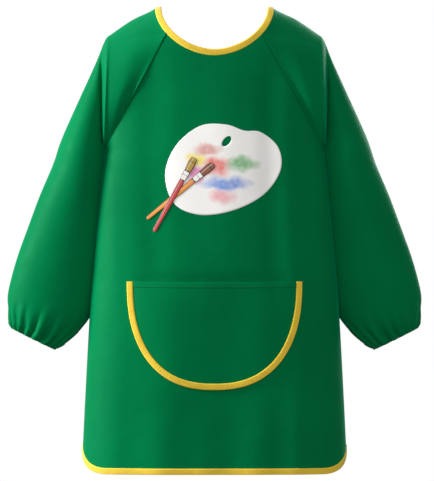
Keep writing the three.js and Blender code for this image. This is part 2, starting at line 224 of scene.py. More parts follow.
def front_folds(x, z):
    """How far the folds lift the front cloth."""
    low = smooth((-310 * MM - z) / (110 * MM))
    top = smooth((-45 * MM - z) / (70 * MM))
    lift = 0.0
    for middle, half, upper, lower in FRONT_FOLDS:
        away = (x / MM - middle - 6 * math.sin(z * 9)) / half
        lift += mix(upper * top, lower, low) * math.exp(-away * away)
    edge = 0.25 * smooth((-480 * MM - z) / (120 * MM)) * math.cos(x * 95 + 1)
    above = (z - POCKET_TOP - 2 * MM) / (8 * MM)
    mouth = 0.4 * smooth((POCKET_HALF_WIDTH - 4 * MM - abs(x)) / (25 * MM)) * math.exp(-above * above)
    return sizes().drape * (lift + edge - mouth)


def front_point(degrees, z):
    power = 2 / SIDE_SQUARENESS
    turn = math.radians(degrees)
    x = half_width(z) * signed_power(math.sin(turn), power)
    y = -front_depth(z) * signed_power(math.cos(turn), power)
    return Vector((x, y - front_folds(x, z) * math.cos(turn) ** 0.5, z))


def back_point(turn, z):
    """A point on the left of the back: 0 is the side seam, 1 the fold line and 2 the middle."""
    fold = fold_x(z)
    wave = 0.5 * sizes().drape * smooth((-150 * MM - z) / (300 * MM)) * math.sin(turn * 7 + z * 4)
    if turn > 1:
        return Vector((fold * (2 - turn), back_depth(z) + wave, z))
    power = 2 / SIDE_SQUARENESS
    angle = turn * math.pi / 2
    x = fold + (half_width(z) - fold) * signed_power(math.cos(angle), power)
    y = back_depth(z) * signed_power(math.sin(angle), power)
    return Vector((x, y + wave * smooth(turn), z))


def front_angle(x, z):
    share = min(abs(x) / half_width(z), 1)
    return math.copysign(math.degrees(math.asin(share ** (SIDE_SQUARENESS / 2))), x)


def front_at(x, z, lift=0.0):
    """The point on the front at this x and z, lifted off the cloth."""
    return Vector((x, body_at(x, z).y - lift, z))


def back_turn(x, z):
    fold = fold_x(z)
    if x < fold:
        return 2 - x / fold
    share = min((x - fold) / (half_width(z) - fold), 1)
    return math.acos(share ** (SIDE_SQUARENESS / 2)) * 2 / math.pi


def body_at(x, z, front=True):
    """The point of the front, or of the left half of the back, at this x and z."""
    if front:
        return front_point(front_angle(x, z), z)
    return back_point(back_turn(x, z), z)


def hem_z(degrees):
    share = clamp((abs(degrees) - HEM_CORNER) / (90 - HEM_CORNER))
    return HEM_LOW + HEM_RISE * share * share


def back_hem_z(turn):
    """The back hem rises to the side seam as the front hem does, a little higher."""
    return hem_z(front_angle(back_point(turn, HEM_LOW).x, HEM_LOW)) + 1.0 * MM * smooth(3 * turn)


def neckline_z(x):
    share = min(abs(x) / NECK_HALF_WIDTH, 1)
    return -NECK_DROP * (1 - share ** NECK_SQUARENESS) ** (1 / NECK_SQUARENESS)


def seam_z(x):
    share = (abs(x) - SEAM_TOP_X) / (CHEST_HALF_WIDTH - SEAM_TOP_X)
    return mix(SEAM_TOP, UNDERARM, share)


def top_z(x):
    """The top edge of the body cloth: the raglan seam at the sides and the neckline between."""
    if abs(x) > SEAM_TOP_X:
        return seam_z(x)
    return neckline_z(x) + 2.5 * MM * smooth((SEAM_TOP_X - abs(x)) / (6 * MM))


def neck_point(degrees, narrow):
    """The neck edge as a loop: 0 is the middle of the front, 90 the left shoulder top."""
    power = 2 / NECK_SQUARENESS
    turn = math.radians(degrees)
    x = (NECK_HALF_WIDTH - narrow) * signed_power(math.sin(turn), power)
    z = -(NECK_DROP - narrow) * abs(math.cos(turn)) ** power
    across = (1 - (abs(x) / CHEST_HALF_WIDTH) ** SIDE_SQUARENESS) ** (1 / SIDE_SQUARENESS)
    y = -front_depth(z) * across if math.cos(turn) > 0 else back_depth(z)
    return Vector((x, y, z))


NECK_SEAM_ANGLE = math.degrees(math.asin((SEAM_TOP_X / NECK_HALF_WIDTH) ** (NECK_SQUARENESS / 2)))


def back_top(turn):
    z = UNDERARM
    for _ in range(24):
        z = top_z(back_point(turn, z).x)
    return z


# ---- the left sleeve's surface ----
def seam_loop(turn):
    """The sleeve's sewn edge: from the underarm up the front, round the neck and down the back."""
    side = min(turn, 1 - turn)
    front = turn < 0.5
    if side < 0.4:
        x = mix(CHEST_HALF_WIDTH, SEAM_TOP_X, side / 0.4)
        return body_at(x, seam_z(x), front)
    angle = mix(NECK_SEAM_ANGLE, 90, (side - 0.4) / 0.1)
    return neck_point(angle if front else 180 - angle, 1.5 * MM)


def facing_shares(turn):
    """How far a turn of the sleeve looks outwards, from 0 to 1, and forwards, from -1 to 1."""
    angle = turn * 2 * math.pi
    return (1 - math.cos(angle)) / 2, math.sin(angle)


def armhole_loop(turn):
    lean, front = facing_shares(turn)
    x = mix(CHEST_HALF_WIDTH + 0.6 * MM, CHEST_HALF_WIDTH - 3.5 * MM, lean)
    z = mix(UNDERARM - 0.5 * MM, SHOULDER_DROP, lean)
    return Vector((x, -48 * MM * front, z))


def arm_cut_loop(turn):
    angle = turn * 2 * math.pi
    pivot = Vector(JOINT["left_sleeve_raise"]["pos_m"])
    direction = math.radians(-66.2 - 23.8 * math.cos(angle))
    x = pivot.x + 78 * MM * math.cos(direction)
    z = pivot.z + 78 * MM * math.sin(direction)
    return Vector((x, 5 * MM - 43 * MM * math.sin(angle), z))


# Down the sleeve: outer edge, inner edge, half depth and how far back it hangs, in millimetres.
SLEEVE_SECTIONS = (
    (214, -208, 143, -230, 44, 7),
    (237, -264, 147, -292, 42, 9),
    (259, -325, 152, -357, 39, 10),
    (273, -374, 163, -404, 35, 10),
    (273, -398, 181, -428, 31, 9),
    (270, -415, 200, -442, 24, 8),
    (266, -427, 218, -451, 16, 8),
)


def section_loop(section, turn):
    out_x, out_z, in_x, in_z, half, back = (value * MM for value in section)
    lean, front = facing_shares(turn)
    return Vector((mix(in_x, out_x, lean), back - half * front, mix(in_z, out_z, lean)))


def sleeve_loops(turn):
    """Points down the sleeve at this turn: the cap, its ridge, the crease behind it, then the tube."""
    lean, front = facing_shares(turn)
    start = seam_loop(turn)
    ridge = armhole_loop(turn)
    cut = arm_cut_loop(turn)
    bulge = Vector((0, -4 * MM * front, 3 * MM * lean))
    near = start.lerp(ridge, 0.14)
    body = body_at(near.x, near.z, front > 0)
    near.y = mix(near.y, body.y, smooth((0.42 - min(turn, 1 - turn)) / 0.1))
    valley = ridge + Vector((2 * MM * abs(front) + 5 * MM * lean, 30 * MM * front, -10 * MM * lean * lean))
    upper = valley.lerp(cut, 0.22) + Vector((-1 * MM * lean, -3 * MM * front, 0))
    loops = [start, near, start.lerp(ridge, 0.5) + bulge, start.lerp(ridge, 0.9) + bulge * 0.35]
    loops += [ridge, valley, upper, cut]
    loops += [section_loop(section, turn) for section in SLEEVE_SECTIONS]
    return loops


def along_curve(points, share):
    """A point on the Catmull-Rom curve through the points, at a share of its spans."""
    spans = len(points) - 1
    place = clamp(share) * spans
    index = min(int(place), spans - 1)
    t = place - index
    p1, p2 = points[index], points[index + 1]
    p0 = points[index - 1] if index else p1 * 2 - p2
    p3 = points[index + 2] if index + 2 <= spans else p2 * 2 - p1
    cubic = (p1 - p2) * 3 + p3 - p0
    square = p0 * 2 - p1 * 5 + p2 * 4 - p3
    return p1 + ((p2 - p0) * t + square * t * t + cubic * t ** 3) * 0.5


LOOP_SPANS = 7 + len(SLEEVE_SECTIONS)
CUFF_START = 1 - 0.8 / LOOP_SPANS


def sleeve_middle(share):
    return (along_curve(sleeve_loops(0), share) + along_curve(sleeve_loops(0.5), share)) / 2


def body_side(y, z):
    """How far out the body cloth reaches at this depth and height."""
    width = half_width(z)
    if y < 0:
        rest = 1 - min(-y / front_depth(z), 1) ** SIDE_SQUARENESS
        return width * rest ** (1 / SIDE_SQUARENESS)
    rest = 1 - min(y / back_depth(z), 1) ** SIDE_SQUARENESS
    return mix(fold_x(z), width, rest ** (1 / SIDE_SQUARENESS))


def sleeve_point(turn, share):
    """A point of the sleeve's cloth, with its gathers near the cuff and its soft waves above them."""
    point = along_curve(sleeve_loops(turn), share)
    down = share * LOOP_SPANS
    middle = sleeve_middle(share)
    middle.y = SLEEVE_BACK
    out = (point - middle).normalized()
    gathered = smooth((down - LOOP_SPANS + 3.4) / 3)
    count = sizes().gathers
    angle = turn * 2 * math.pi
    pleat = math.cos(count * angle + 0.7 * math.sin(3 * angle) + 0.5 * math.sin(down * 2))
    minor = math.cos((count - 6) * angle + 1.3)
    sharp = 1 - 2 * (1 - abs(math.cos(count * angle / 2 + 0.8 * math.sin(2 * angle)))) ** 1.6
    point += out * sizes().gather * gathered ** 1.5 * (0.45 * pleat + 0.3 * minor + 0.5 * sharp)
    soft = smooth((down - 7.3) / 1.5) * (1 - gathered)
    point += out * 0.5 * MM * soft * math.cos(3 * angle + down * 1.9) * math.sin(down * 2.3)
    if point.z < UNDERARM and point.x < 190 * MM:
        point.x = max(point.x, body_side(point.y, point.z) + 0.5 * MM)
    return point


# ---- meshes ----
def linked(name, data):
    piece = bpy.data.objects.new(name, data)
    bpy.context.scene.collection.objects.link(piece)
    return piece


def primitive(kind, **settings):
    """One of Blender's own shapes."""
    bpy.ops.object.select_all(action="DESELECT")
    getattr(bpy.ops.mesh, "primitive_" + kind + "_add")(**settings)
    return bpy.context.object


def new_object(name, points, faces, uvs=None):
    mesh = bpy.data.meshes.new(name)
    mesh.from_pydata([tuple(p) for p in points], [], faces)
    if uvs:
        layer = mesh.uv_layers.new(name="cloth")
        for loop in mesh.loops:
            layer.data[loop.index].uv = uvs[loop.vertex_index]
    mesh.polygons.foreach_set("use_smooth", [True] * len(mesh.polygons))
    return linked(name, mesh)


def mirror_points(points, sign):
    return [Vector((p.x * sign, p.y, p.z)) for p in points]


def grid_faces(columns, rows, wide):
    """The quads of a grid that is wide points across, closed round when that is also its columns."""
    faces = []
    for row in range(rows):
        for column in range(columns):
            a = row * wide + column
            b = row * wide + (column + 1) % wide
            faces.append((a, b, b + wide, a + wide))
    return faces


def cloth_grid(name, surface, columns, rows, sign=1, ring=False, thickness=None):
    """A sheet of cloth on surface(u, v), given its thickness inwards: sign is -1 for the right side.

    Seen from outside, u goes round to the left side of the wearer and v goes up."""
    points = []
    uvs = []
    wide = columns if ring else columns + 1
    for row in range(rows + 1):
        along = 0.0
        for column in range(wide):
            point = surface(column / columns, row / rows)
            if column:
                along += (point - points[-1]).length
            points.append(point)
            uvs.append((along, point.z))
    faces = grid_faces(columns, rows, wide)
    if sign < 0:
        faces = [face[::-1] for face in faces]
    piece = new_object(name, mirror_points(points, sign), faces, uvs)
    thicken(piece, thickness or sizes().cloth)
    return piece


def thicken(piece, thickness):
    solid = piece.modifiers.new("thickness", "SOLIDIFY")
    solid.thickness = thickness
    solid.offset = -1
    solid.use_even_offset = False
    apply_modifiers(piece)


def select_only(piece):
    bpy.ops.object.select_all(action="DESELECT")
    bpy.context.view_layer.objects.active = piece
    piece.select_set(True)


def apply_modifiers(piece):
    select_only(piece)
    for modifier in list(piece.modifiers):
        bpy.ops.object.modifier_apply(modifier=modifier.name)
    piece.select_set(False)


def even_path(points, pitch):
    """The same line with points a pitch apart."""
    places = [0.0]
    for a, b in zip(points, points[1:]):
        places.append(places[-1] + (b - a).length)
    steps = max(2, round(places[-1] / pitch))
    columns = np.array([tuple(p) for p in points])
    marks = np.linspace(0, places[-1], steps + 1)
    axes = [np.interp(marks, places, columns[:, axis]) for axis in range(3)]
    return [Vector(row) for row in np.stack(axes, 1)]


def path_frames(line, pitch, out_at):
    """A pitch apart along a line: the point, the line's direction, the way across and the way out."""
    points = even_path(line, pitch)
    frames = []
    for index, point in enumerate(points):
        ahead = points[min(index + 1, len(points) - 1)] - points[max(index - 1, 0)]
        ahead.normalize()
        out = out_at(point)
        out = (out - ahead * out.dot(ahead)).normalized()
        frames.append((point, ahead, out.cross(ahead), out))
    return frames


def edge_tape(name, frames, width, thickness):
    """A folded tape along a line: a rounded flat section, puckered a little at each stitch."""
    around = 18
    points = []
    uvs = []
    travelled = 0.0
    for index, (point, _, across, out) in enumerate(frames):
        if index:
            travelled += (point - frames[index - 1][0]).length
        pucker = 1 + 0.07 * math.cos(2 * math.pi * travelled / (STITCH_PITCH * sizes().stitch))
        for step in range(around):
            angle = 2 * math.pi * step / around
            side = signed_power(math.cos(angle), 0.55) * width / 2
            high = signed_power(math.sin(angle), 0.75) * thickness / 2 * pucker
            points.append(point + across * side + out * high)
            uvs.append((travelled, side if high > 0 else width - side))
    last = len(frames) - 1
    faces = grid_faces(around, last, around)
    faces.append(tuple(range(around))[::-1])
    faces.append(tuple(last * around + step for step in range(around)))
    piece = new_object(name, points, faces, uvs)
    turn_outwards(piece)
    return piece


def turn_outwards(piece):
    select_only(piece)
    bpy.ops.object.mode_set(mode="EDIT")
    bpy.ops.mesh.select_all(action="SELECT")
    bpy.ops.mesh.normals_make_consistent(inside=False)
    bpy.ops.object.mode_set(mode="OBJECT")
    piece.select_set(False)


def copies(name, pattern, places):
    """One piece made of copies of a small pattern, each put at its own matrix."""
    base = np.array([tuple(v.co) + (1.0,) for v in pattern.data.vertices])
    shape = [tuple(face.vertices) for face in pattern.data.polygons]
    points = []
    faces = []
    for place in places:
        first = len(points)
        moved = base @ np.array(place).T
        points.extend(map(tuple, moved[:, :3]))
        faces.extend(tuple(first + index for index in face) for face in shape)
    return new_object(name, points, faces)


def drop(pattern):
    mesh = pattern.data
    bpy.data.objects.remove(pattern)
    bpy.data.meshes.remove(mesh)


def thread_pattern():
    """One stitch: a short rounded bar along X, a unit long and a unit thick."""
    pattern = primitive("uv_sphere", segments=6, ring_count=5, radius=0.5, rotation=(0, math.pi / 2, 0))
    bpy.ops.object.transform_apply(location=True, rotation=True, scale=True)
    for vertex in pattern.data.vertices:
        vertex.co.x = signed_power(vertex.co.x * 2, 0.6) / 2
    return pattern


def stitch_places(frames, shift=0.0, lift=0.0):
    """Matrices of the stitches along frames that lie one stitch pitch apart."""
    places = []
    for (a, _, across_a, out), (b, _, across_b, _) in zip(frames, frames[1:]):
        start = a + across_a * shift
        end = b + across_b * shift
        ahead = (end - start).normalized()
        side = out.cross(ahead)
        middle = (start + end) / 2 + out * lift
        columns = (ahead * sizes().stitch, side * sizes().thread, ahead.cross(side) * sizes().thread)
        place = Matrix.Identity(4)
        for index, column in enumerate(columns):
            for axis in range(3):
                place[axis][index] = column[axis]
        place.translation = middle
        places.append(place)
    return places


def stitches(name, lines):
    pattern = thread_pattern()
    piece = copies(name, pattern, sum(lines, []))
    drop(pattern)
    turn_outwards(piece)
    return piece


# ---- materials ----
class Recipe:
    """A small helper that adds nodes to one material and links them."""

    def __init__(self, name):
        self.material = bpy.data.materials.new(name)
        self.material.use_nodes = True
        self.nodes = self.material.node_tree.nodes
        self.links = self.material.node_tree.links
        self.shader = self.nodes["Principled BSDF"]
        place = self.add("ShaderNodeTexCoord")
        self.object = place.outputs["Object"]
        self.uv = place.outputs["UV"]

    def add(self, kind, inputs=None, **settings):
        node = self.nodes.new(kind)
        for key, value in settings.items():
            setattr(node, key, value)
        for key, value in (inputs or {}).items():
            if isinstance(value, bpy.types.NodeSocket):
                self.links.new(value, node.inputs[key])
            else:
                node.inputs[key].default_value = value
        return node

    def maths(self, operation, *values):
        return self.add("ShaderNodeMath", dict(enumerate(values)), operation=operation).outputs[0]

    def vector(self, operation, inputs, result="Vector"):
        return self.add("ShaderNodeVectorMath", inputs, operation=operation).outputs[result]

    def noise(self, source, scale, detail=2.0):
        inputs = {"Vector": source, "Scale": scale, "Detail": detail}
        return self.add("ShaderNodeTexNoise", inputs).outputs["Fac"]

    def wave(self, source, scale, direction, distortion=0.0):
        inputs = {"Vector": source, "Scale": scale, "Distortion": distortion}
        return self.add("ShaderNodeTexWave", inputs, bands_direction=direction).outputs["Fac"]

    def between(self, fac, low, high):
        """A value from low to high as fac goes from 0.3 to 0.7."""
        inputs = {"Value": fac, "From Min": 0.3, "From Max": 0.7, "To Min": low, "To Max": high}
        return self.add("ShaderNodeMapRange", inputs).outputs[0]

    def blend_colours(self, fac, low, high):
        return self.add("ShaderNodeMix", {0: fac, 6: low, 7: high}, data_type="RGBA").outputs[2]

    def bump(self, height, distance, strength=1.0, under=None):
        inputs = {"Height": height, "Distance": distance, "Strength": strength}
        if under:
            inputs["Normal"] = under
        return self.add("ShaderNodeBump", inputs).outputs[0]

    def finish(self, colour, roughness, normal, **fixed):
        self.links.new(colour, self.shader.inputs["Base Color"])
        self.links.new(roughness, self.shader.inputs["Roughness"])
        self.links.new(normal, self.shader.inputs["Normal"])
        for key, value in fixed.items():
            self.shader.inputs[key.replace("_", " ").title().replace("Ior", "IOR")].default_value = value
        return self.material

    def film(self, colour):
        """Finishes a printed film, smooth and half glossy."""
        rough = self.between(self.noise(self.object, 200, 2), 0.36, 0.48)
        return self.finish(colour, rough, self.bump(self.noise(self.object, 500, 2), 0.00008))


def shade(colour, factor):
    return (*(min(channel * factor, 1) for channel in colour), 1)


def made_once(build):
    """Keeps the first result of a material function."""
    kept = []

    def get():
        if not kept:
            kept.append(build())
        return kept[0]
    return get


@made_once
def cloth_material():
    """Tightly woven water-repellent polyester: a fine weave, soft creases and a satin sheen."""
    r = Recipe("green_polyester")
    place = r.object
    threads = r.maths("MAXIMUM", r.wave(r.uv, 330, "X", 0.4), r.wave(r.uv, 330, "Y", 0.4))
    creases = r.noise(place, 26, 5)
    fine = r.bump(threads, 0.00006, 0.5)
    normal = r.bump(creases, 0.0022, 0.55, fine)
    tone = r.noise(place, 9, 3)
    base = colours().cloth
    colour = r.blend_colours(r.between(tone, 0, 1), shade(base, 0.9), shade(base, 1.1))
    speck = r.blend_colours(r.maths("MULTIPLY", threads, 0.35), shade(base, 0.86), colour)
    colour = r.blend_colours(0.6, speck, colour)
    rough = r.between(r.noise(place, 60, 3), 0.46, 0.58)
    return r.finish(
        colour, rough, normal, sheen_weight=0.35, sheen_roughness=0.45, sheen_tint=(0.0, 0.8, 0.4, 1),
        ior=1.2, specular_ior_level=0.3, specular_tint=(0.1, 1.0, 0.6, 1))


@made_once
def binding_material():
    """Matt woven bias tape with a diagonal rib, and a painted highlight along its rolled edges."""
    r = Recipe("yellow_bias_tape")
    place = r.object
    turned = r.add("ShaderNodeMapping", {"Vector": r.uv, "Rotation": (0, 0, 0.785)}).outputs[0]
    threads = r.maths("MAXIMUM", r.wave(turned, 260, "X", 0.5), r.wave(turned, 260, "Y", 0.5))
    normal = r.bump(r.noise(place, 120, 3), 0.0006, 0.5, r.bump(threads, 0.0001, 0.6))
    base = colours().binding
    colour = r.blend_colours(r.between(r.noise(place, 40, 3), 0, 1), shade(base, 0.84), shade(base, 1.0))
    # Painted highlight: the tape turns lighter towards its rolled edges, and lighter over its whole
    # underside.
    across = r.add("ShaderNodeSeparateXYZ", {0: r.uv}).outputs[1]
    edge = r.maths("MULTIPLY", r.maths("ABSOLUTE", across), 1 / (0.5 * sizes().binding))
    colour = r.blend_colours(r.maths("POWER", edge, 3), colour, shade(base, 1.22))
    rough = r.between(threads, 0.7, 0.82)
    return r.finish(colour, rough, normal, sheen_weight=0.15)


def twisted_thread(name, base, dark, bright):
    r = Recipe(name)
    twist = r.wave(r.object, 900, "DIAGONAL")
    colour = r.blend_colours(twist, shade(base, dark), shade(base, bright))
    return r.finish(colour, r.between(twist, 0.5, 0.65), r.bump(twist, 0.00008))


@made_once
def thread_material():
    """Twisted polyester thread, a little brighter than the tape."""
    return twisted_thread("yellow_thread", colours().binding, 0.82, 1.2)


@made_once
def green_thread_material():
    """Twisted thread in the colour of the cloth."""
    return twisted_thread("green_thread", colours().cloth, 0.75, 1.35)


@made_once
def elastic_material():
    """Ribbed woven elastic."""
    r = Recipe("white_elastic")
    ribs = r.wave(r.uv, 220, "Y")
    knit = r.wave(r.uv, 160, "X", 1.0)
    colour = r.blend_colours(ribs, (0.62, 0.6, 0.56, 1), (0.84, 0.83, 0.8, 1))
    rough = r.between(knit, 0.75, 0.9)
    return r.finish(colour, rough, r.bump(r.maths("MULTIPLY", ribs, knit), 0.0003))


@made_once
def fastener_material():
    """Nylon of the hook and loop tapes."""
    r = Recipe("green_nylon")
    fuzz = r.noise(r.object, 900, 2)
    colour = r.blend_colours(fuzz, (0.008, 0.09, 0.035, 1), (0.02, 0.19, 0.08, 1))
    rough = r.between(fuzz, 0.6, 0.85)
    return r.finish(colour, rough, r.bump(fuzz, 0.0002, 0.7), sheen_weight=0.3)


PALETTE_CENTRE = (11 * MM, -214 * MM)
PALETTE_OUTLINE = (
    (-76, -8), (-62, 30), (-30, 56), (4, 58), (28, 50), (50, 48), (73, 28), (76, -2),
    (54, -34), (14, -55), (-30, -61), (-64, -46),
)
THUMB_HOLE = (5, 36)
# Dabs of paint on the palette: place, size across and up, in millimetres, and colour.
PAINT_DABS = (
    ((-21, 25), (17, 8), (0.72, 0.30, 0.26)),
    ((-35, 13), (16, 10), (0.93, 0.74, 0.08)),
    ((-36, -7), (13, 13), (0.72, 0.16, 0.42)),
    ((-8, 3), (20, 14), (0.83, 0.11, 0.08)),
    ((26, 6), (21, 12), (0.13, 0.46, 0.14)),
    ((4, -20), (34, 11), (0.11, 0.26, 0.74)),
    ((-2, -37), (19, 10), (0.89, 0.40, 0.44)),
)


@made_once
def palette_material():
    """Printed film: an off-white ground with ragged dabs of watercolour."""
    r = Recipe("palette_print")
    place = r.object
    flat = r.add("ShaderNodeMapping", {"Vector": place, "Scale": (1, 0, 1)}).outputs[0]
    ragged = r.add("ShaderNodeTexNoise", {"Vector": flat, "Scale": 55, "Detail": 4}).outputs["Color"]
    wobble = r.vector("SUBTRACT", {0: ragged, 1: (0.5, 0.5, 0.5)})
    moved = r.vector("ADD", {0: flat, 1: r.vector("SCALE", {0: wobble, "Scale": 0.02})})
    ground = colours().film
    tone = r.between(r.noise(place, 30, 2), 0, 1)
    colour = r.blend_colours(tone, shade(ground, 0.96), shade(ground, 1.02))
    wash = r.noise(flat, 170, 4)
    for (x, z), (wide, high), paint in PAINT_DABS:
        centre = (PALETTE_CENTRE[0] + x * MM, 0, PALETTE_CENTRE[1] + z * MM)
        away = r.vector("SUBTRACT", {0: moved, 1: centre})
        shaped = r.vector("MULTIPLY", {0: away, 1: (1 / (wide * MM), 0, 1 / (high * MM))})
        far = r.vector("LENGTH", {0: shaped}, "Value")
        inside = r.add("ShaderNodeMapRange", {"Value": far, "From Min": 1.15, "From Max": 0.45}).outputs[0]
        strength = r.maths("MULTIPLY", inside, r.between(wash, 0.68, 0.97))
        colour = r.blend_colours(strength, colour, (*paint, 1))
    return r.film(colour)


def brush_material(name, handle, bristle):
    """Printed brush: dark outline, coloured handle, white ferrule and brown bristles."""
    r = Recipe(name)
    parts = r.add("ShaderNodeSeparateXYZ", {0: r.uv})
    bands = r.add("ShaderNodeValToRGB", {"Fac": parts.outputs[0]})
    ramp = bands.color_ramp
    ramp.interpolation = "CONSTANT"
    ink, ferrule, groove = (0.06, 0.03, 0.02), (0.88, 0.87, 0.84), (0.55, 0.55, 0.55)
    dark_bristle = tuple(0.6 * channel for channel in bristle)
    stops = ((0.0, handle), (0.69, ink), (0.705, ferrule), (0.755, groove), (0.77, ferrule),
             (0.81, ink), (0.825, bristle), (0.93, dark_bristle), (0.95, bristle))
    while len(ramp.elements) < len(stops):
        ramp.elements.new(0.5)
    for element, (position, tint) in zip(ramp.elements, stops):
        element.position = position
        element.color = (*tint, 1)
    side = r.maths("ABSOLUTE", r.maths("SUBTRACT", parts.outputs[1], 0.5))
    line = r.maths("GREATER_THAN", side, 0.41)
    shine = r.maths("COMPARE", parts.outputs[1], 0.36, 0.07)
    colour = r.blend_colours(r.maths("MULTIPLY", shine, 0.35), bands.outputs[0], (1, 0.9, 0.8, 1))
    return r.film(r.blend_colours(line, colour, (0.09, 0.03, 0.015, 1)))


def dress(piece, material, body=None, replaces=()):
    piece.data.materials.clear()
    piece.data.materials.append(material)
    if body:
        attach(piece, body)
    if replaces:
        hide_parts(*replaces)
    return piece


def fold_blend(piece, side, sign):
    """Finds the fold line where a piece of the back opens, then bakes the piece's transform; it bends
    nothing.
    """
    hinge = JOINT[side + "_back_open"]
    axis = Vector(hinge["axis"]).normalized()
    across = axis.cross(Vector((0, 1, 0))).normalized()
    if across.x * sign > 0:
        across = -across
    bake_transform(piece)


def arm_blend(piece):
    """Bakes a sleeve's transform; it does not bend the sleeve where the arm rises."""
    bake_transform(piece)


class SmockOperator:
    """What every step of the smock shares."""

    bl_options = {"REGISTER", "UNDO"}

    def execute(self, context):
        self.make()
        return {"FINISHED"}


class SMOCK_OT_front(SmockOperator, bpy.types.Operator):
    """Makes the front cloth"""

    bl_idname = "smock.front"
    bl_label = "Front"

    def make(self):
        def surface(u, v):
            degrees = mix(-90, 90, u)
            x = CHEST_HALF_WIDTH * abs(math.sin(math.radians(degrees))) ** (2 / SIDE_SQUARENESS)
            low = hem_z(degrees) + 3 * MM
            z = mix(low, top_z(x), v)
            point = front_point(degrees, z)
            if x > SEAM_TOP_X:
                point.y += 0.5 * MM * smooth((v - 0.985) / 0.015)
            return point

        piece = cloth_grid("front_cloth", surface, 190, 170)
        dress(piece, cloth_material(), "body", ["front_panel"])


class SMOCK_OT_back(SmockOperator, bpy.types.Operator):
    """Makes the two halves of the back"""

    bl_idname = "smock.back"
    bl_label = "Back"

    def make(self):
        end = 2 - OPENING_HALF_GAP / fold_x(-300 * MM)
        tops = {}

        def surface(u, v):
            turn = end * u
            if u not in tops:
                tops[u] = back_top(turn)
            point = back_point(turn, mix(back_hem_z(turn) + 3 * MM, tops[u], v))
            if turn > 1.6:
                gap = mix(0, OPENING_HALF_GAP, (turn - 1.6) / (end - 1.6))
                point.x = mix(point.x, max(point.x, gap), 0.5)
            return point

        for side, sign in SIDES:
            piece = cloth_grid(side + "_back_cloth", surface, 110, 150, sign)
            nodes = [side + "_back_panel", side + "_back_flap"]
            dress(piece, cloth_material(), None, nodes)
            fold_blend(piece, side, sign)


class SMOCK_OT_sleeves(SmockOperator, bpy.types.Operator):
    """Makes the raglan sleeves, gathered towards the cuffs"""

    bl_idname = "smock.sleeves"
    bl_label = "Sleeves"

    def make(self):
        def surface(u, v):
            return sleeve_point(u, v * (CUFF_START + 0.006))

        for side, sign in SIDES:
            piece = cloth_grid(side + "_sleeve_cloth", surface, 190, 150, sign, ring=True)
            nodes = [side + "_sleeve_cap", side + "_sleeve"]
            dress(piece, cloth_material(), None, nodes)
            arm_blend(piece)


class SMOCK_OT_cuffs(SmockOperator, bpy.types.Operator):
    """Makes the gathered cuff casings and the elastics inside them"""

    bl_idname = "smock.cuffs"
    bl_label = "Cuffs"

    def make(self):
        def casing(u, v):
            share = mix(CUFF_START, 1, v)
            point = sleeve_point(u, share)
            out = (point - sleeve_middle(share)).normalized()
            angle = 2 * math.pi * u
            frill = math.cos(26 * angle + 0.9 * math.sin(5 * angle))
            channel = math.sin(math.pi * min(v / 0.8, 1)) ** 0.5
            lip = smooth((v - 0.8) / 0.2)
            return point + out * MM * (0.3 + 0.8 * channel + frill * (0.4 + 1.0 * lip))

        def elastic(u, v):
            share = mix(CUFF_START, 1, mix(0.2, 0.7, v))
            return sleeve_point(u, share).lerp(sleeve_middle(share), 0.2)

        for side, sign in SIDES:
            band = cloth_grid(side + "_cuff_casing_cloth", casing, 320, 22, sign, ring=True)
            dress(band, cloth_material(), side + "_arm", [side + "_cuff_casing"])
            ring = cloth_grid(side + "_cuff_elastic_band", elastic, 240, 8, sign, True, 1.1 * MM)
            dress(ring, elastic_material(), side + "_arm", [side + "_cuff_elastic"])


def neck_frames(start, end, pitch):
    """Frames of the neck tape, which faces up at the shoulders and straight out lower down."""
    middle = [neck_point(angle, NECK_TAPE_INSET) for angle in spread(start, end, 400)]

    def out_at(point):
        facing = Vector((0, -1 if point.y < 0 else 1, 0))
        upward = Vector((0.25 * math.copysign(1, point.x), 0, 1.2))
        low = smooth(-point.z / (45 * MM))
        return (facing * (0.25 + low) + upward * (1 - low)).normalized()

    return path_frames(middle, pitch, out_at)


def surface_frames(line, pitch, lift=0):
    """Frames of a line on the body, facing straight out of the cloth and lifted off it."""
    def out_at(point):
        front = point.y < 0 or abs(point.x) >= half_width(point.z) - 1 * MM and point.y < 2 * MM
        depth = front_depth(point.z) if front else back_depth(point.z)
        width = half_width(point.z)
        inner = 0 if front else fold_x(point.z)
        reach = max(abs(point.x) - inner, 0) / (width - inner)
        x = math.copysign(min(reach, 1) ** (SIDE_SQUARENESS - 1) / (width - inner), point.x)
        y = math.copysign(min(abs(point.y) / depth, 1) ** (SIDE_SQUARENESS - 1) / depth, point.y)
        return Vector((x, y, 0)).normalized()

    frames = path_frames(line, pitch, out_at)
    return [(point + out * lift, ahead, across, out) for point, ahead, across, out in frames]


def back_hem_path(start, end, sign):
    half = sizes().binding / 2
    points = [back_point(turn, back_hem_z(turn) + half) for turn in spread(start, end, 160)]
    return mirror_points(points, sign)


def hem_path():
    """The hem from the fold line on the right of the back, round the front, to the left one."""
    half = sizes().binding / 2
    front = [front_point(angle, hem_z(angle) + half) for angle in spread(-90, 90, 360)[1:-1]]
    return back_hem_path(hem_split(), 0, -1) + front + back_hem_path(0, hem_split(), 1)


def hem_frames(path, pitch):
    return surface_frames(path, pitch, HEM_TAPE_LIFT)


def back_hem_frames(sign, pitch):
    return hem_frames(back_hem_path(hem_split(), back_end_turn(HEM_LOW), sign), pitch)


def back_end_turn(z):
    return 2 - (OPENING_HALF_GAP - 0.5 * MM) / fold_x(z)


def hem_split():
    """The turn on the body's side of the fold line where the back half of the hem tape starts."""
    return back_turn(fold_x(HEM_LOW) + FOLD_BLEND * 1.3, HEM_LOW)


def neck_split():
    """The angle round the neck where the back half of its binding starts."""
    x = SEAM_TOP_X + 0.5 * FOLD_BLEND
    return 180 - math.degrees(math.asin((x / NECK_HALF_WIDTH) ** (NECK_SQUARENESS / 2)))


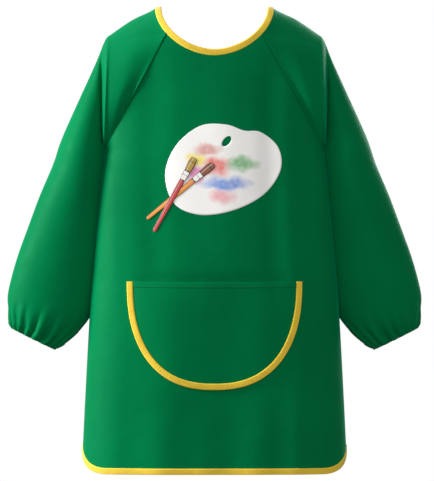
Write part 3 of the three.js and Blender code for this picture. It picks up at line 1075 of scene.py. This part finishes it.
class SMOCK_OT_bindings(SmockOperator, bpy.types.Operator):
    """Makes the folded edge tapes of the neck and the hem"""

    bl_idname = "smock.bindings"
    bl_label = "Bindings"

    def make(self):
        pitch = sizes().stitch * TAPE_PITCH
        split = neck_split()
        self.tape("neck_binding", neck_frames(-split, split, pitch), "body")
        self.tape("hem_binding", hem_frames(hem_path(), pitch), "body")
        for side, sign in SIDES:
            frames = neck_frames(split * sign, NECK_TAPE_END * sign, pitch)
            fold_blend(self.tape(side + "_neck_binding_back", frames), side, sign)
            frames = back_hem_frames(sign, pitch)
            fold_blend(self.tape(side + "_hem_binding_back", frames), side, sign)

    def tape(self, node, frames, body=None):
        piece = edge_tape(node + "_tape", frames, sizes().binding, sizes().tape)
        return dress(piece, binding_material(), body, [node])


def pocket_point(turn, narrow):
    """The U-shaped pocket edge, from the right top corner at -1 round the bottom to the left at 1."""
    angle = turn * math.pi / 2
    power = 2 / POCKET_SQUARENESS
    x = (POCKET_HALF_WIDTH - narrow) * signed_power(math.sin(angle), power)
    z = POCKET_TOP - (POCKET_DEPTH - narrow) * abs(math.cos(angle)) ** power
    return x, z


def pocket_lift(x, z):
    """How far the pocket stands off the front: sewn down at its edge, and slack at its mouth."""
    across = min(abs(x) / (POCKET_HALF_WIDTH - 5 * MM), 1)
    down = min(max(POCKET_TOP - z, 0) / (POCKET_DEPTH - 5 * MM), 1)
    near = min((across ** POCKET_SQUARENESS + down ** POCKET_SQUARENESS) ** (1 / POCKET_SQUARENESS), 1)
    slack = (1 - near ** 3) ** 0.8
    ripple = 0.6 * MM * math.cos(x * 70 + 0.5) * slack * (1 - down)
    return 1.8 * MM + 5.6 * MM * slack * mix(1, 0.75, down) + ripple


def pocket_sag(x):
    """How far the middle of the pocket's mouth hangs below its corners."""
    return POCKET_SAG * (1 - (x / POCKET_HALF_WIDTH) ** 2)


def pocket_tape_frames(pitch):
    outline = [pocket_point(turn, POCKET_TAPE_INSET) for turn in spread(-1, 1, 400)]
    return surface_frames([front_at(x, z, POCKET_TAPE_LIFT) for x, z in outline], pitch)


class SMOCK_OT_pocket(SmockOperator, bpy.types.Operator):
    """Makes the front pocket, its folded top hem and its binding"""

    bl_idname = "smock.pocket"
    bl_label = "Pocket"

    def make(self):
        def surface(u, v):
            turn = mix(-1, 1, u)
            x, low = pocket_point(turn, 3 * MM)
            z = mix(low, POCKET_TOP, v)
            x *= 1 - 0.012 * smooth((v - 0.5) / 0.5) * (1 - abs(turn))
            sag = pocket_sag(x) * smooth((v - 0.7) / 0.3)
            return front_at(x, z - sag, pocket_lift(x, z))

        cloth = cloth_grid("pocket_cloth", surface, 130, 90)
        dress(cloth, cloth_material(), "body", ["pocket_panel"])

        def hem(u, v):
            x = mix(-1, 1, u) * (POCKET_HALF_WIDTH - 5 * MM)
            z = POCKET_TOP - 7.5 * MM + v * 7.8 * MM
            edge = math.sin(math.pi * v) ** 0.4
            return front_at(x, z - pocket_sag(x), pocket_lift(x, z) + (0.2 + 0.35 * edge) * MM)

        fold = cloth_grid("pocket_top_hem", hem, 130, 12)
        dress(fold, cloth_material(), "body")
        frames = pocket_tape_frames(sizes().stitch * TAPE_PITCH)
        tape = edge_tape("pocket_binding_tape", frames, sizes().binding, POCKET_TAPE)
        dress(tape, binding_material(), "body", ["pocket_binding"])


def palette_edge(turn):
    """The palette's outline as a closed curve, in millimetres from its middle."""
    count = len(PALETTE_OUTLINE)
    place = turn * count
    index = int(place)
    ring = [Vector((*PALETTE_OUTLINE[(index + k - 1) % count], 0)) for k in range(4)]
    return along_curve(ring, (1 + place - index) / 3)


def print_at(spot, lift):
    """A point of the print, given from the palette's middle."""
    return front_at(PALETTE_CENTRE[0] + spot.x, PALETTE_CENTRE[1] + spot.y, lift)


class SMOCK_OT_print(SmockOperator, bpy.types.Operator):
    """Makes the printed palette and its two brushes"""

    bl_idname = "smock.print"
    bl_label = "Print"

    def make(self):
        def palette(u, v):
            edge = palette_edge(u)
            hole = Vector((*THUMB_HOLE, 0))
            away = (edge - hole).normalized()
            turned = math.atan2(away.y, away.x) - math.radians(50)
            radius = 1 / math.hypot(math.cos(turned) / 8, math.sin(turned) / 4.5)
            place = (hole + away * radius).lerp(edge, v) * MM
            return print_at(place, 0.35 * MM)

        film = cloth_grid("palette_film", palette, 144, 40, 1, True, 0.3 * MM)
        dress(film, palette_material(), "body", ["chest_print"])
        brushes = (("orange", (-100, -66), (-12, 6), (0.78, 0.26, 0.025), (0.25, 0.07, 0.03)),
                   ("red", (-91, -83), (-37, 14), (0.5, 0.035, 0.04), (0.42, 0.26, 0.02)))
        for order, (name, tail, tip, tint, bristle) in enumerate(brushes):
            piece = self.brush(name, Vector(tail), Vector(tip), 0.7 + 0.25 * order)
            dress(piece, brush_material(name + "_brush_print", tint, bristle), "body")

    def brush(self, name, tail, tip, lift):
        along = (tip - tail).normalized()
        across = Vector((-along.y, along.x))
        columns, rows = 6, 90
        points, uvs = [], []
        for row in range(rows + 1):
            share = row / rows
            handle = mix(2.6, 3.6, smooth(share / 0.6)) * quarter_round(share / 0.04 + 0.1)
            head = mix(3.4, 4.3, smooth((share - 0.69) / 0.05))
            head += 0.9 * math.sin(math.pi * smooth((share - 0.78) / 0.26))
            half = handle if share < 0.69 else head * quarter_round((1 - share) / 0.03 + 0.12)
            for column in range(columns + 1):
                side = column / columns
                spot = (tail.lerp(tip, share) + across * half * (1 - 2 * side)) * MM
                points.append(print_at(spot, lift * MM))
                uvs.append((share, side))
        faces = [(a, d, c, b) for a, b, c, d in grid_faces(columns, rows, columns + 1)]
        piece = new_object(name + "_brush_film", points, faces, uvs)
        thicken(piece, 0.25 * MM)
        turn_outwards(piece)
        return piece


class SMOCK_OT_tapes(SmockOperator, bpy.types.Operator):
    """Makes the hook and loop tapes that close the back"""

    bl_idname = "smock.tapes"
    bl_label = "Hook and loop tapes"

    def make(self):
        for place in ("neck", "waist"):
            self.tape("left_" + place + "_hook_tape", "left_back", hooks=True)
            self.tape("right_" + place + "_loop_tape", "right_back", hooks=False)

    def tape(self, node, body, hooks):
        low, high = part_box(node)
        middle = (low + high) / 2
        lean = Matrix.Rotation(math.atan(FLARE), 4, "X")
        facing = -1 if hooks else 1
        thickness = 0.7 * MM
        depth = body_at(abs(middle.x), middle.z, front=False).y
        depth += -sizes().cloth - 0.1 * MM if hooks else 0.1 * MM
        plate = primitive("cube", size=1)
        plate.name = node + "_plate"
        bpy.ops.object.mode_set(mode="EDIT")
        bpy.ops.mesh.select_all(action="SELECT")
        bpy.ops.transform.resize(value=(high.x - low.x, thickness, high.z - low.z))
        bpy.ops.mesh.bevel(offset=0.3 * MM, segments=2, affect="EDGES")
        bpy.ops.mesh.select_all(action="DESELECT")
        bpy.ops.object.mode_set(mode="OBJECT")
        centre = Vector((middle.x, depth + facing * thickness / 2, middle.z))
        stand = Matrix.Translation(centre) @ lean
        plate.data.transform(stand)
        dress(plate, fastener_material(), body, [node])
        pile = self.pile(node + "_pile", stand, high - low, facing * thickness / 2, hooks)
        dress(pile, fastener_material(), body)

    def pile(self, name, stand, size, base, hooks):
        """The hooks in straight rows, or the loops lying all ways."""
        draw = random.Random(name)
        ring = primitive(
            "torus", major_segments=8, minor_segments=4, major_radius=0.5,
            minor_radius=0.11 if hooks else 0.07, rotation=(math.pi / 2, 0, 0))
        bpy.ops.object.transform_apply(location=True, rotation=True, scale=True)
        places = []
        columns, rows = (11, 19) if hooks else (14, 22)
        for column in range(columns):
            for row in range(rows):
                jitter = 0 if hooks else 0.45
                x = (column + 0.5 + draw.uniform(-jitter, jitter)) / columns - 0.5
                z = (row + 0.5 + draw.uniform(-jitter, jitter)) / rows - 0.5
                height = 1.2 * MM if hooks else draw.uniform(1.1, 1.7) * MM
                turned = 0 if hooks else draw.uniform(0, math.pi)
                lean = 0 if hooks else draw.uniform(-0.5, 0.5)
                spot = Vector((x * (size.x - 3 * MM), base, z * (size.z - 3 * MM)))
                turn = Matrix.Rotation(turned, 4, "Y") @ Matrix.Rotation(lean, 4, "X")
                places.append(stand @ Matrix.Translation(spot) @ turn @ Matrix.Scale(height, 4))
        piece = copies(name, ring, places)
        drop(ring)
        return piece


class SMOCK_OT_stitching(SmockOperator, bpy.types.Operator):
    """Sews the visible lines of stitches"""

    bl_idname = "smock.stitching"
    bl_label = "Stitching"

    def make(self):
        pitch = sizes().stitch * STITCH_PITCH
        edge = sizes().binding / 2 - 1.6 * MM
        split = neck_split()
        lift = sizes().tape / 2 - THREAD_SINK
        high = POCKET_TAPE / 2 - THREAD_SINK
        neck = neck_frames(-split, split, pitch)
        pocket = pocket_tape_frames(pitch)
        lines = [
            stitch_places(neck, edge, lift), stitch_places(neck, -edge, lift),
            stitch_places(hem_frames(hem_path(), pitch), edge, lift),
            stitch_places(pocket, edge, high), stitch_places(pocket, -edge, high),
        ]
        piece = stitches("front_stitching", lines)
        dress(piece, thread_material(), "body")
        self.pocket_hem(pitch)
        for side, sign in SIDES:
            neck = neck_frames(split * sign, NECK_TAPE_END * sign, pitch)
            both = (neck, back_hem_frames(sign, pitch))
            lines = [stitch_places(frames, edge, lift) for frames in both]
            piece = stitches(side + "_back_stitching", lines)
            dress(piece, thread_material())
            fold_blend(piece, side, sign)
            self.opening(side, sign, pitch)

    def pocket_hem(self, pitch):
        path = []
        z = POCKET_TOP - 6 * MM
        for share in spread(-1, 1, 100):
            x = share * (POCKET_HALF_WIDTH - 9 * MM)
            path.append(front_at(x, z - pocket_sag(x), pocket_lift(x, z) + 0.6 * MM))
        piece = stitches("pocket_hem_stitching", [stitch_places(surface_frames(path, pitch))])
        dress(piece, green_thread_material(), "body")

    def opening(self, side, sign, pitch):
        """The line that holds the turned edge of the back opening."""
        heights = spread(-72 * MM, HEM_LOW + 12 * MM, 100)
        path = mirror_points([body_at(14 * MM, z, front=False) for z in heights], sign)
        frames = surface_frames(path, pitch, 0.05 * MM)
        piece = stitches(side + "_opening_stitching", [stitch_places(frames)])
        dress(piece, green_thread_material())
        fold_blend(piece, side, sign)


# The soft lights: place, size in metres and power in watts.
LIGHTS = (
    ("key", (-2.6, -0.4, 0.5), 1.0, 128),
    ("fill", (0.2, -2.6, 0.5), 1.6, 24),
    ("top", (-0.4, 0.3, 1.5), 1.2, 9),
    ("back", (0.9, 2.2, 0.6), 1.6, 24),
)
LIGHT_AIM = Vector((0, 0, -0.3))


class SMOCK_OT_studio(SmockOperator, bpy.types.Operator):
    """Sets the pale floor, the soft lights and the camera"""

    bl_idname = "smock.studio"
    bl_label = "Studio"

    def make(self):
        floor = primitive("circle", vertices=96, radius=5, fill_type="NGON", location=(0, 0, -0.95))
        floor.name = "floor"
        r = Recipe("pale_floor")
        place = r.object
        colour = r.blend_colours(r.noise(place, 3, 2), (0.3, 0.3, 0.3, 1), (0.33, 0.33, 0.33, 1))
        rough = r.between(r.noise(place, 8, 2), 0.8, 0.9)
        normal = r.bump(r.noise(place, 40, 2), 0.0005)
        glow = {"emission_color": (1, 1, 1, 1), "emission_strength": 0.6}
        floor.data.materials.append(r.finish(colour, rough, normal, **glow))
        floor.visible_diffuse = False
        floor.visible_glossy = False
        self.world()
        for lamp in LIGHTS:
            self.light(*lamp)
        self.camera()

    def world(self):
        """White behind the smock, and a dimmer even light on it."""
        world = bpy.data.worlds.new("studio")
        bpy.context.scene.world = world
        world.use_nodes = True
        nodes = world.node_tree.nodes
        links = world.node_tree.links
        seen = nodes["Background"]
        lit = nodes.new("ShaderNodeBackground")
        for background, strength in ((seen, 1.0), (lit, 0.3)):
            background.inputs["Color"].default_value = (1, 1, 1, 1)
            background.inputs["Strength"].default_value = strength
        path = nodes.new("ShaderNodeLightPath")
        pick = nodes.new("ShaderNodeMixShader")
        links.new(path.outputs["Is Camera Ray"], pick.inputs[0])
        links.new(lit.outputs[0], pick.inputs[1])
        links.new(seen.outputs[0], pick.inputs[2])
        links.new(pick.outputs[0], nodes["World Output"].inputs["Surface"])

    def light(self, name, place, size, power):
        lamp = bpy.data.lights.new(name, "AREA")
        lamp.size = size
        lamp.energy = power
        piece = linked(name, lamp)
        piece.location = place
        piece.rotation_euler = (LIGHT_AIM - Vector(place)).to_track_quat("-Z", "Y").to_euler()

    def camera(self):
        lens = bpy.data.cameras.new("camera")
        lens.sensor_width = 36
        lens.lens = 451
        lens.clip_end = 30
        view = linked("camera", lens)
        view.location = (0.0033, -8.0, -0.3087)
        view.rotation_euler = (math.pi / 2, 0, 0)
        bpy.context.scene.camera = view
        bpy.context.scene.view_settings.view_transform = "Standard"


STEPS = (
    SMOCK_OT_front, SMOCK_OT_back, SMOCK_OT_sleeves, SMOCK_OT_cuffs, SMOCK_OT_bindings,
    SMOCK_OT_pocket, SMOCK_OT_print, SMOCK_OT_tapes, SMOCK_OT_stitching, SMOCK_OT_studio,
)


class SMOCK_PT_panel(bpy.types.Panel):
    """Lists the smock's sizes, colours and steps"""

    bl_idname = "SMOCK_PT_panel"
    bl_label = "Painting smock"
    bl_space_type = "VIEW_3D"
    bl_region_type = "UI"
    bl_category = "Smock"

    def draw(self, context):
        for group in (context.scene.smock_sizes, context.scene.smock_colours):
            box = self.layout.box()
            for key in group.__annotations__:
                box.prop(group, key)
        for step in STEPS:
            self.layout.operator(step.bl_idname)


CLASSES = (SmockSizes, SmockColours, *STEPS, SMOCK_PT_panel)


def register():
    for cls in CLASSES:
        bpy.utils.register_class(cls)
    bpy.types.Scene.smock_sizes = bpy.props.PointerProperty(type=SmockSizes)
    bpy.types.Scene.smock_colours = bpy.props.PointerProperty(type=SmockColours)


def unregister():
    del bpy.types.Scene.smock_colours
    del bpy.types.Scene.smock_sizes
    for cls in reversed(CLASSES):
        bpy.utils.unregister_class(cls)


def main():
    register()
    for step in STEPS:
        group, name = step.bl_idname.split(".")
        getattr(getattr(bpy.ops, group), name)()


if __name__ == "__main__":
    main()
